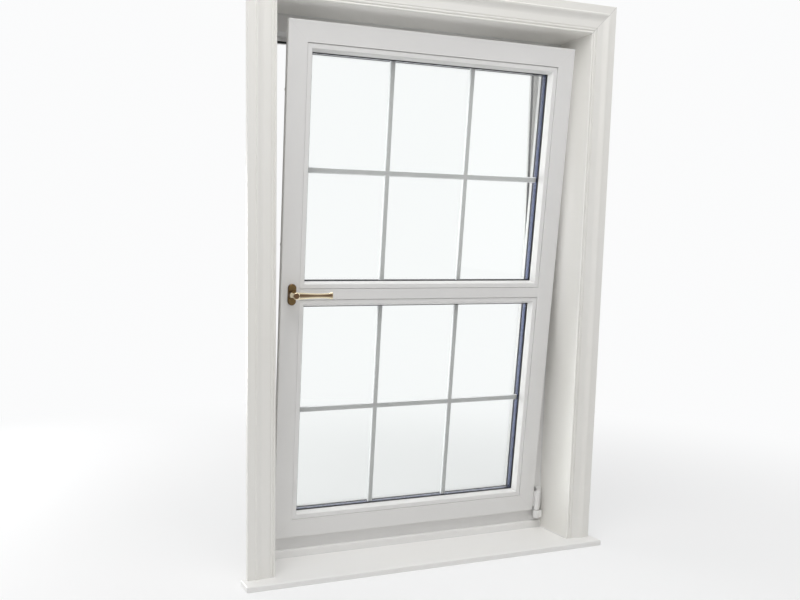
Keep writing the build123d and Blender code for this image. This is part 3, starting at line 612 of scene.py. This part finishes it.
class WINDOW_OT_glazing_finish(bpy.types.Operator):
    """Finishes panes, spacers, bars, seals and gaskets"""
    bl_idname = "window.glazing_finish"
    bl_label = "Finish glazing"

    def execute(self, context):
        colours, _, _ = settings()
        assign([f"{side}_pane_{unit}" for side in ("inner", "outer")
                for unit in ("upper", "lower")], clear_glass(colours.glass))
        spacer = surface("Spacer coating", colours.spacer, toned(colours.spacer, 1.6),
                         tone=(30.0, 0.4), grain=(900.0, 2.0), gloss=(0.2, 0.3), bump=0.02,
                         Metallic=0.65, Coat_Weight=1.0, Coat_IOR=1.55, Coat_Roughness=0.06)
        assign(["spacer_upper", "spacer_lower"], spacer)
        assign(["glazing_bars_upper", "glazing_bars_lower"], self.bar_coating_and_painted_shade(colours))
        assign(["inner_gaskets", "outer_gaskets", "sash_gasket", "frame_gasket", "edge_seals"],
               rubber_finish(colours))
        blue, darker_blue = (0.05, 0.12, 0.36), (0.04, 0.10, 0.30)
        assign(["setting_blocks"],
               surface("Setting block plastic", blue, darker_blue, gloss=(0.4, 0.55)))
        return {"FINISHED"}

    def bar_coating_and_painted_shade(self, colours):
        """White coating with painted shade: the flat faces are grey, as in daylight from behind,
        and the sloping edges keep the white.
        """
        made = surface("Bar coating", colours.bar_painted_shade, toned(colours.bar_painted_shade, 0.94),
                       tone=(8.0, 0.4), grain=(500.0, 2.0), gloss=(0.36, 0.46), bump=0.04)
        tree = made.node_tree
        # Painted shade: faces that look along Y take the grey, the sloping edges the white
        facing = add(tree, "ShaderNodeTexCoord", -1100, 550)
        parts = add(tree, "ShaderNodeSeparateXYZ", -900, 550)
        flat = add(tree, "ShaderNodeMath", -700, 550, operation="ABSOLUTE")
        slope = add(tree, "ShaderNodeMapRange", -500, 550, {"From Min": 0.97, "From Max": 0.8})
        wire(tree, (facing, "Normal", parts, 0), (parts, "Y", flat, 0),
             (flat, 0, slope, "Value"))
        tree.links.new(slope.outputs["Result"], lay_over(made, colours.bar_edge))
        return made


class WINDOW_OT_hardware_finish(bpy.types.Operator):
    """Finishes the plated steel parts and the brass lever with its rose"""
    bl_idname = "window.hardware_finish"
    bl_label = "Finish hardware"

    def execute(self, context):
        colours, _, _ = settings()
        steel = surface("Zinc plated steel", colours.steel,
                        toned(colours.steel, 1.0, 0.97, 0.86), tone=(14.0, 0.7),
                        grain=(160.0, 4.0), stretch=(1.0, 1.0, 0.25), gloss=(0.24, 0.42),
                        bump=0.06, Metallic=1.0)
        assign(["keeps", "stay_bearing", "hinge_pin", "handle_screws", "gearbox", "faceplate",
                "sash_hardware_screws", "corner_drives", "stay_guide", "spindle", "gear_pinion",
                "drive_rod", "locking_cams", "stay_arm"], steel)
        coated = surface("White coated steel", colours.bead, toned(colours.bead, 0.93),
                         tone=(12.0, 0.5), grain=(380.0, 2.0), gloss=(0.3, 0.4), bump=0.08)
        assign(["corner_bearing", "hinge_band"], coated)
        galvanised = surface("Galvanised steel", toned(colours.steel, 0.9),
                             toned(colours.steel, 0.6), tone=(60.0, 0.8),
                             grain=(90.0, 3.0), gloss=(0.4, 0.6), bump=0.06, Metallic=1.0)
        assign(["frame_reinforcement", "sash_reinforcement"], galvanised)
        # Lever and rose carry painted reflection in their base colours
        polished, dull = (0.07, 0.2), (0.2, 0.38)
        assign(["handle_lever"],
               self.brass("Polished brass", colours.brass_painted_dark_reflection, colours.brass, polished))
        # The rose is dark all over: painted dark reflection
        assign(["handle_rose"],
               self.brass("Dull brass", colours.rose_painted_dark_reflection, colours.brass_painted_dark_reflection, dull))
        return {"FINISHED"}

    def brass(self, name, face, along, gloss):
        """Brass with painted reflection: dark where it is seen straight, a painted dark
        reflection, and pale where it is seen along, a painted highlight.
        """
        made = surface(name, face, toned(face, 0.8), tone=(45.0, 0.7),
                       grain=(220.0, 3.0), stretch=(0.2, 1.0, 1.0), gloss=gloss, bump=0.03,
                       depth=0.00005, Metallic=1.0)
        tree = made.node_tree
        # Painted reflection: the view angle blends the dark colour seen straight into the pale
        # colour seen along
        view = add(tree, "ShaderNodeLayerWeight", -900, 500, {"Blend": 0.85})
        share = add(tree, "ShaderNodeMapRange", -650, 500, {"From Min": 0.24, "From Max": 0.7})
        wire(tree, (view, "Facing", share, "Value"))
        tree.links.new(share.outputs["Result"], lay_over(made, along))
        return made


class WINDOW_OT_gasket_lips(bpy.types.Operator):
    """Runs the rounded lip of each glazing gasket round the glass, on both sides"""
    bl_idname = "window.gasket_lips"
    bl_label = "Make gasket lips"
    corner_radius, sides = 0.002, 12

    def execute(self, context):
        colours, sizes, _ = settings()
        tree = make_strip_tree()
        # Each side's name, the corner of the pane's box on its face, the way off the glass
        for side, corner, off, radius in (("inner", 0, -1, sizes.lip_radius),
                                          ("outer", 1, 1, sizes.outer_lip_radius)):
            loops = []
            for unit in ("upper", "lower"):
                low, high = upright_box(f"glazing_beads_{unit}")
                face = upright_box(f"{side}_pane_{unit}")[corner].y
                loops.append(rectangle(low, high, sizes.bead_width, face + off * radius))
            values = {"Radius": radius, "Corner radius": self.corner_radius,
                      "Sides": self.sides}
            grow(f"{side}_gasket_lips", tree, loop_mesh("Glass edges", loops), "sash",
                 rubber_finish(colours), values, sash_matrix())
        return {"FINISHED"}


class WINDOW_OT_spacer_capping(bpy.types.Operator):
    """Sets a bevelled capping on each spacer, up to the edge of the beads"""
    bl_idname = "window.spacer_capping"
    bl_label = "Make spacer capping"
    slack, bevel = 0.0003, 0.0009   # from the capping to each pane, and at its two edges

    def execute(self, context):
        _, sizes, _ = settings()
        bevel = self.bevel
        foot, top = sizes.spacer_height, sizes.spacer_height + sizes.spacer_rise
        verts, faces = [], []
        for unit in ("upper", "lower"):
            low, high = upright_box(f"spacer_{unit}")
            front, back = low.y + self.slack, high.y - self.slack
            section = ((foot, front), (top - bevel, front), (top, front + bevel),
                       (top, back - bevel), (top - bevel, back), (foot, back))
            first = len(verts)
            for inset, y in section:
                verts += rectangle(low, high, inset, y)
            for k in range(len(section)):
                here, there = first + 4 * k, first + 4 * ((k + 1) % len(section))
                faces += [(here + c, here + (c + 1) % 4, there + (c + 1) % 4, there + c)
                          for c in range(4)]
        capping = plain_object("spacer_capping", verts, faces=faces)
        capping.data.transform(sash_matrix())
        capping.data.materials.append(bpy.data.materials["Spacer coating"])
        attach(capping, "sash")
        return {"FINISHED"}


class WINDOW_OT_spacer_holes(bpy.types.Operator):
    """Lays dark discs, painted shade of perforations, on the spacer capping, on the side that
    faces the space between the panes
    """
    bl_idname = "window.spacer_holes"
    bl_label = "Make spacer perforations"
    lift = 0.00005   # of the perforations' discs off the capping

    def execute(self, context):
        _, sizes, _ = settings()
        face = sizes.spacer_height + sizes.spacer_rise + self.lift
        loops = []
        for unit in ("upper", "lower"):
            low, high = upright_box(f"spacer_{unit}")
            middle = (low.y + high.y) / 2
            loops += [rectangle(low, high, face, middle + row)
                      for row in (-sizes.hole_row, sizes.hole_row)]
        # The perforations are dark discs laid on the capping: painted shade where holes would be
        hole_painted_shade, lighter_hole_painted_shade = (0.006, 0.006, 0.007), (0.012, 0.012, 0.014)
        dark = surface("Perforation shade", hole_painted_shade, lighter_hole_painted_shade, gloss=(0.6, 0.8))
        grow("spacer_perforations", make_hole_tree(), loop_mesh("Spacer rows", loops), "sash",
             dark, {"Pitch": sizes.hole_pitch, "Radius": sizes.hole_radius},
             sash_matrix())
        return {"FINISHED"}


class WINDOW_OT_sealant(bpy.types.Operator):
    """Runs sealant where the linings meet the frame and the board"""
    bl_idname = "window.sealant"
    bl_label = "Make sealant"
    inset_share = 0.35    # of the sealant's radius, from the corner to its middle
    front_gap = 0.004     # from the linings' front edge to the sealant's end
    corner_radius, sides = 0.003, 10

    def execute(self, context):
        colours, sizes, _ = settings()
        inset = sizes.sealant_radius * self.inset_share
        lining_low, lining_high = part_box("lining_left")
        x = -lining_high.x - inset
        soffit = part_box("lining_head")[0].z - inset
        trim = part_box("window_board")[1].z
        frame_line = [(-x, -inset, trim), (-x, -inset, soffit), (x, -inset, soffit),
                      (x, -inset, trim)]
        board = lining_low.z + inset
        front = lining_low.y + self.front_gap
        upstand = board_upstand_face() - inset
        board_line = [(-x, front, board), (-x, upstand, board), (x, upstand, board),
                      (x, front, board)]
        white = surface("Sealant", colours.sealant, toned(colours.sealant, 0.9),
                        tone=(9.0, 0.6), grain=(120.0, 3.0), gloss=(0.3, 0.42), bump=0.25,
                        depth=0.0004)
        values = {"Radius": sizes.sealant_radius, "Corner radius": self.corner_radius,
                  "Sides": self.sides}
        corners = loop_mesh("Corners", [frame_line, board_line], closed=False)
        grow("sealant", make_strip_tree(), corners, "frame", white, values)
        return {"FINISHED"}


def board_upstand_face(off_floor=0.01):
    """Room face of the trim on the window board, the board's solid that is off the floor."""
    return min(low.y for low, _ in solids_of("window_board") if low.z > off_floor)


def screw_head_object(sides=20, arm=0.55, half=0.13, rim=(-0.5, 0.7), recess=(-0.22, 0.9)):
    """Flat head of radius 1 with a cross recess and a rim that slopes back.

    arm and half are the cross's reach and half its width. rim and recess give the height of
    their lower edge and its size beside the upper one.
    """
    shape = bmesh.new()
    turns = [k * math.tau / sides for k in range(sides)]
    ring = [shape.verts.new((math.cos(turn), math.sin(turn), 0.0)) for turn in turns]
    cross = [shape.verts.new((x, y, 0.0)) for x, y in (
        (arm, -half), (arm, half), (half, half), (half, arm), (-half, arm), (-half, half),
        (-arm, half), (-arm, -half), (-half, -half), (-half, -arm), (half, -arm),
        (half, -half))]
    edges = [shape.edges.new((loop[k], loop[(k + 1) % len(loop)]))
             for loop in (ring, cross) for k in range(len(loop))]
    bmesh.ops.triangle_fill(shape, use_beauty=True, use_dissolve=False, edges=edges)
    for face in list(shape.faces):
        if all(corner in cross for corner in face.verts):
            shape.faces.remove(face)
    for loop, (drop, spread) in ((ring, rim), (cross, recess)):
        low = [shape.verts.new((v.co.x * spread, v.co.y * spread, drop)) for v in loop]
        for k in range(len(loop)):
            after = (k + 1) % len(loop)
            shape.faces.new((loop[k], loop[after], low[after], low[k]))
        shape.faces.new(low)
    bmesh.ops.recalc_face_normals(shape, faces=shape.faces)
    mesh = bpy.data.meshes.new("Screw head")
    shape.to_mesh(mesh)
    shape.free()
    piece = bpy.data.objects.new("Screw head", mesh)
    bpy.context.collection.objects.link(piece)
    return piece


class WINDOW_OT_screws(bpy.types.Operator):
    """Sets countersunk screw heads into the keeps and the run-up block"""
    bl_idname = "window.screws"
    bl_label = "Make screws"
    keep_plate = 0.002                   # a keep's thickness
    keep_foot, keep_top = 0.006, 0.007   # from a keep's lower and upper end to its screws
    block_end = 0.015                    # from the run-up block's ends to its screws
    keep_depth, block_depth = 0.039, 0.031   # the screws' places in Y
    lift = 0.00008                       # of a head off the face that it is sunk in
    seed = 7

    def places(self):
        """Place and facing of each screw."""
        found = []
        for low, high in solids_of("keeps"):
            found += [((low.x + self.keep_plate, self.keep_depth, z), (1, 0, 0))
                      for z in (low.z + self.keep_foot, high.z - self.keep_top)]
        low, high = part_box("run_up_block")
        found += [((x, self.block_depth, high.z), (0, 0, 1))
                  for x in (low.x + self.block_end, high.x - self.block_end)]
        return found

    def execute(self, context):
        _, sizes, _ = settings()
        head = screw_head_object()
        tree = make_screw_tree()
        found = self.places()
        base = plain_object("Screw places", [place for place, _ in found])
        facing = base.data.attributes.new("facing", "FLOAT_VECTOR", "POINT")
        for k, (_, way) in enumerate(found):
            facing.data[k].vector = way
            base.data.vertices[k].co += Vector(way) * self.lift
        grow("frame_screw_heads", tree, base, "frame",
             bpy.data.materials["Zinc plated steel"],
             {"Head": head, "Head radius": sizes.screw_radius, "Seed": self.seed})
        bpy.data.objects.remove(head)
        return {"FINISHED"}


def area_light(name, place, size, power):
    """A soft lamp that faces the window and is hidden from the camera, also behind glass."""
    lamp = bpy.data.lights.new(name, "AREA")
    lamp.shape = "RECTANGLE"
    lamp.size, lamp.size_y = size
    lamp.energy = power
    piece = bpy.data.objects.new(name, lamp)
    piece.location = place
    middle = (cad_box[0] + cad_box[1]) / 2
    piece.rotation_euler = (middle - Vector(place)).to_track_quat("-Z", "Y").to_euler()
    piece.visible_camera = piece.visible_transmission = False
    bpy.context.collection.objects.link(piece)


class WINDOW_OT_stage(bpy.types.Operator):
    """Makes the pale floor, the soft light and the camera"""
    bl_idname = "window.stage"
    bl_label = "Make stage"
    background = (0.965, 0.968, 0.972, 1.0)
    world_colour, world_strength = (1.0, 0.995, 0.985, 1.0), 0.31
    floor_reach, floor_drop = 40.0, 0.0005
    fade_start, fade_end, fade_near = 0.9, 3.2, 0.6   # metres, metres, share at the window
    # Name, place, width and height, watts
    lamps = (("Key light", (-3.2, -2.3, 3.3), (2.8, 2.8), 24),
             ("Top light", (-0.7, -1.5, 4.2), (2.2, 2.2), 82),
             ("Fill light", (3.0, -2.6, 1.6), (2.4, 2.4), 9),
             ("Outside light", (-1.9, 2.6, 0.8), (2.2, 1.4), 58))

    def execute(self, context):
        colours, _, view = settings()
        scene = context.scene
        scene.view_settings.view_transform = "Standard"
        self.make_floor(colours)
        self.make_world(scene)
        for lamp in self.lamps:
            area_light(*lamp)
        self.make_camera(scene, view)
        return {"FINISHED"}

    def make_floor(self, colours):
        """A pale floor that keeps the shadow near the window and fades into the background."""
        reach = self.floor_reach
        floor = plain_object("Floor", [(-reach, -reach, 0), (reach, -reach, 0),
                                       (reach, reach, 0), (-reach, reach, 0)],
                             faces=[(0, 1, 2, 3)])
        floor.location.z = -self.floor_drop
        finish = surface("Floor paint", colours.floor, toned(colours.floor, 0.985),
                         tone=(0.7, 0.5), grain=(60.0, 2.0), gloss=(0.55, 0.65), bump=0.02)
        floor.data.materials.append(finish)
        tree = finish.node_tree
        shader = tree.nodes["Principled BSDF"]
        seen = self.seen_by_camera(tree)
        place = add(tree, "ShaderNodeTexCoord", -900, 700)
        away = add(tree, "ShaderNodeVectorMath", -650, 700, operation="LENGTH")
        far = add(tree, "ShaderNodeMapRange", -400, 700, {
            "From Min": self.fade_start, "From Max": self.fade_end, "To Min": self.fade_near},
            interpolation_type="SMOOTHSTEP")
        share = add(tree, "ShaderNodeMath", 100, 550, operation="MULTIPLY")
        glow = add(tree, "ShaderNodeEmission", 100, 350, {"Color": self.background})
        wire(tree, (place, "Object", away, 0), (away, "Value", far, "Value"),
             (far, "Result", share, 0))
        tree.links.new(seen, share.inputs[1])
        mix_to_surface(tree, share.outputs[0], shader, glow)

    def seen_by_camera(self, tree):
        """1 for what the camera sees, straight, in gloss or through glass."""
        path = add(tree, "ShaderNodeLightPath", -400, 300)
        first = add(tree, "ShaderNodeMath", -150, 300, operation="MAXIMUM")
        second = add(tree, "ShaderNodeMath", 50, 300, operation="MAXIMUM")
        wire(tree, (path, "Is Camera Ray", first, 0), (path, "Is Glossy Ray", first, 1),
             (first, 0, second, 0), (path, "Is Transmission Ray", second, 1))
        return second.outputs[0]

    def make_world(self, scene):
        """Even light, and a near white background for the camera, gloss and glass."""
        world = bpy.data.worlds.new("Studio")
        scene.world = world
        world.use_nodes = True
        tree = world.node_tree
        light = tree.nodes["Background"]
        light.inputs["Color"].default_value = self.world_colour
        light.inputs["Strength"].default_value = self.world_strength
        backdrop = add(tree, "ShaderNodeBackground", 0, -150, {
            "Color": self.background, "Strength": 1.0})
        mix_to_surface(tree, self.seen_by_camera(tree), light, backdrop, "World Output")

    def make_camera(self, scene, view):
        """The camera that was fitted to the photograph's straight edges."""
        data = bpy.data.cameras.new("Camera")
        data.sensor_fit = "HORIZONTAL"
        data.lens = view.focal_share * data.sensor_width
        data.shift_x, data.shift_y = view.shift_x, view.shift_y
        camera = bpy.data.objects.new("Camera", data)
        turn = (Matrix.Rotation(view.yaw, 3, "Z") @ Matrix.Rotation(view.pitch, 3, "X")
                @ Matrix.Rotation(view.roll, 3, "Y"))
        right, forward, up = (turn.col[k] for k in range(3))
        looking = Matrix((right, up, -forward)).transposed().to_4x4()
        camera.matrix_world = Matrix.Translation(view.place) @ looking
        bpy.context.collection.objects.link(camera)
        scene.camera = camera


class WINDOW_PT_panel(bpy.types.Panel):
    """A button for each step"""
    bl_idname = "WINDOW_PT_panel"
    bl_label = "Tilt and turn window"
    bl_space_type = "VIEW_3D"
    bl_region_type = "UI"
    bl_category = "Window"

    def draw(self, context):
        for step in steps:
            self.layout.operator(step.bl_idname)


steps = (WINDOW_OT_frame_finish, WINDOW_OT_timber_finish, WINDOW_OT_glazing_finish,
         WINDOW_OT_hardware_finish, WINDOW_OT_gasket_lips, WINDOW_OT_spacer_capping,
         WINDOW_OT_spacer_holes, WINDOW_OT_sealant, WINDOW_OT_screws, WINDOW_OT_stage)
groups = {"window_colours": WindowColours, "window_sizes": WindowSizes,
          "window_camera": WindowCamera}
classes = (*groups.values(), *steps, WINDOW_PT_panel)


def register():
    for entry in classes:
        bpy.utils.register_class(entry)
    for name, kind in groups.items():
        setattr(bpy.types.Scene, name, PointerProperty(type=kind))


def unregister():
    for name in groups:
        delattr(bpy.types.Scene, name)
    for entry in reversed(classes):
        bpy.utils.unregister_class(entry)


def main():
    register()
    for step in steps:
        family, name = step.bl_idname.split(".")
        getattr(getattr(bpy.ops, family), name)()


if __name__ == "__main__":
    main()
